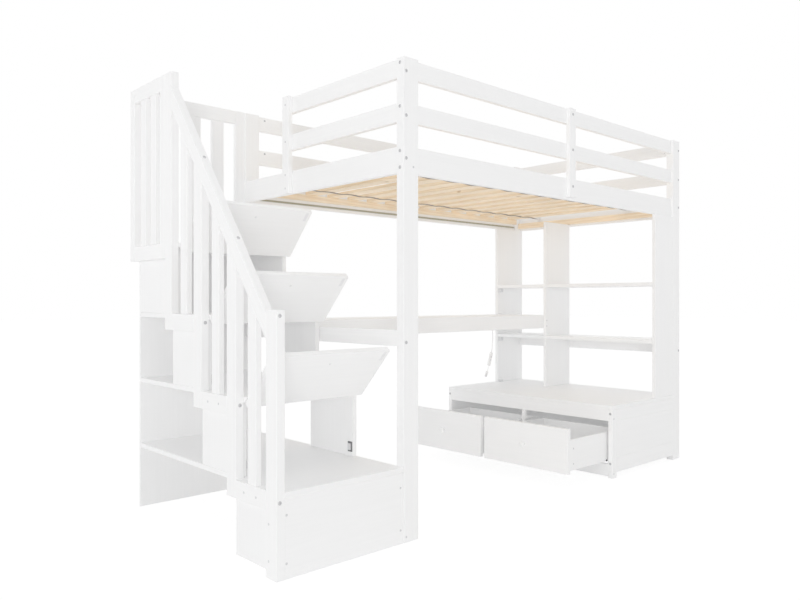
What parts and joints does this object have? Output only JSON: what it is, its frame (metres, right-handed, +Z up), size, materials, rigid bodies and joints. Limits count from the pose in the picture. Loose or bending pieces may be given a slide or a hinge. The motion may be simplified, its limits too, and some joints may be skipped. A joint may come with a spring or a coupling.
{
  "type": "loft bed with storage stairs",
  "caption": "White wooden loft bed over a desk, bookcase and drawer bench, with a flight of cubby stairs whose risers hinge up.",
  "frame": {"origin": "middle of the floor under the whole object", "axes": "+X along the bed away from the stairs, +Y from the front to the back, +Z up"},
  "size_m": [2.54, 1.098, 1.697],
  "materials": {
    "white_paint": "satin white paint on wood",
    "bare_pine": "bare planed pine",
    "white_plastic": "matt"
  },
  "bodies": {
    "bed_frame": {"bed_post_back_left": "white_paint", "bed_post_back_right": "white_paint", "bed_post_front_left": "white_paint", "bed_post_front_right": "white_paint", "bench_back_panel": "white_paint", "bench_front_frame": "white_paint", "bench_side_back": "white_paint", "bench_side_front": "white_paint", "bench_top": "white_paint", "bookcase_partition": "white_paint", "bookcase_shelf_lower": "white_paint", "bookcase_shelf_upper": "white_paint", "bookcase_side_back": "white_paint", "bookcase_side_front": "white_paint", "desk_apron": "white_paint", "desk_board": "white_paint", "desk_cross_rail": "white_paint", "guard_rail_lower_back": "white_paint", "guard_rail_lower_front": "white_paint", "guard_rail_lower_left": "white_paint", "guard_rail_lower_right": "white_paint", "guard_rail_upper_back": "white_paint", "guard_rail_upper_front": "white_paint", "guard_rail_upper_left": "white_paint", "guard_rail_upper_right": "white_paint", "guard_upright_front": "white_paint", "guard_upright_left": "white_paint", "landing_case": "white_paint", "landing_guard_back": "white_paint", "landing_guard_left": "white_paint", "lead_cable": "white_plastic", "lead_controller": "white_plastic", "lead_plug": "white_plastic", "lead_tail": "white_plastic", "side_rail_back": "white_paint", "side_rail_front": "white_paint", "side_rail_left": "white_paint", "side_rail_right": "white_paint", "slat_ledger_back": "bare_pine", "slat_ledger_front": "bare_pine", "slat_ledger_right": "bare_pine", "slat_mat": "bare_pine", "stair_back_panel": "white_paint", "stair_guard_post_1": "white_paint", "stair_guard_post_2": "white_paint", "stair_guard_post_3": "white_paint", "stair_handrail": "white_paint", "stair_newel_post": "white_paint", "step_case_1": "white_paint", "step_case_2": "white_paint", "step_case_3": "white_paint", "stretcher_left": "white_paint", "stretcher_right": "white_paint"},
    "flap_1": {"step_flap_1": "white_paint"},
    "flap_2": {"step_flap_2": "white_paint"},
    "flap_3": {"step_flap_3": "white_paint"},
    "drawer_1": {"drawer_front_1": "white_paint", "drawer_box_1": "white_paint"},
    "drawer_2": {"drawer_front_2": "white_paint", "drawer_box_2": "white_paint"}
  },
  "joints": [
    {"name": "flap_1_hinge", "type": "hinge", "parent": "bed_frame", "child": "flap_1", "pos_m": [-0.9965, -0.304, 0.508], "axis": [1, 0, 0], "range_deg": [0, 137.3]},
    {"name": "flap_2_hinge", "type": "hinge", "parent": "bed_frame", "child": "flap_2", "pos_m": [-0.9965, -0.071, 0.773], "axis": [1, 0, 0], "range_deg": [0, 137.3]},
    {"name": "flap_3_hinge", "type": "hinge", "parent": "bed_frame", "child": "flap_3", "pos_m": [-0.9965, 0.162, 1.038], "axis": [1, 0, 0], "range_deg": [0, 137.3]},
    {"name": "drawer_1_slide", "type": "slide", "parent": "bed_frame", "child": "drawer_1", "axis": [1, 0, 0], "range_m": [-0.022, 0.328]},
    {"name": "drawer_2_slide", "type": "slide", "parent": "bed_frame", "child": "drawer_2", "axis": [1, 0, 0], "range_m": [-0.022, 0.328]}
  ]
}
